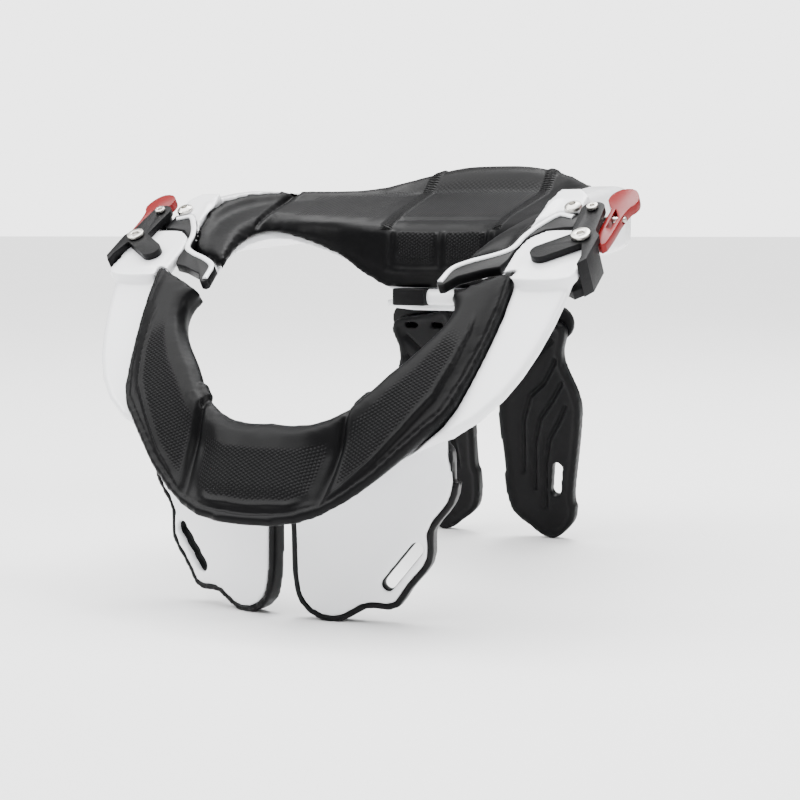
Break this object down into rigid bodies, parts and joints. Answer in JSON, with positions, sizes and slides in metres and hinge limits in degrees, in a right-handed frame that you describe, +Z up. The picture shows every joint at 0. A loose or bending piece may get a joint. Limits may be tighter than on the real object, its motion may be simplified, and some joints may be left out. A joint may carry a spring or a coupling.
{
  "type": "motocross neck brace",
  "caption": "Open ring neck brace with black foam collar pads, white arms and chest lobes, two back wings and red clasp levers.",
  "frame": {"origin": "centre of the bounding box's base, on the surface that the brace rests on", "axes": "+X the wearer's left, which is the right of the picture, -Y the wearer's front, +Z up"},
  "size_m": [0.257, 0.263, 0.1991],
  "materials": {
    "black_foam": "satin moulded foam with a fine dimpled texture",
    "white_plastic": "smooth gloss white moulding",
    "dark_nylon": "matte dark grey filled nylon",
    "red_plastic": "gloss red moulding",
    "steel": "plain steel screws and pins"
  },
  "bodies": {
    "rear_half": {"rear_pad": "black_foam", "rear_frame": "white_plastic", "strut_roller": "white_plastic", "back_wing_right": "dark_nylon", "back_wing_left": "dark_nylon", "strut_bracket_right": "dark_nylon", "strut_bracket_left": "dark_nylon", "bumper_right": "dark_nylon", "bumper_left": "dark_nylon", "dome_screw_right": "steel", "dome_screw_left": "steel"},
    "front_half": {"front_pad": "black_foam", "front_frame": "white_plastic", "chest_pad_right": "dark_nylon", "chest_pad_left": "dark_nylon", "clasp_bracket_right": "dark_nylon", "clasp_bracket_left": "dark_nylon", "lever_pin_right": "steel", "lever_pin_left": "steel", "large_screw_right": "steel", "large_screw_left": "steel", "small_screw_right": "steel", "small_screw_left": "steel"},
    "lever_right": {"release_lever_right": "red_plastic"},
    "lever_left": {"release_lever_left": "red_plastic"}
  },
  "joints": [
    {"name": "front_swing", "type": "hinge", "parent": "rear_half", "child": "front_half", "pos_m": [-0.1121, -0.02647, 0.17521], "axis": [0, 0.5505, -0.8348], "range_deg": [0, 25]},
    {"name": "lever_right_flip", "type": "hinge", "parent": "front_half", "child": "lever_right", "pos_m": [0.121, -0.02278, 0.16962], "axis": [1, 0, 0], "range_deg": [0, 35]},
    {"name": "lever_left_flip", "type": "hinge", "parent": "front_half", "child": "lever_left", "pos_m": [-0.121, -0.02278, 0.16962], "axis": [1, 0, 0], "range_deg": [0, 35]}
  ]
}
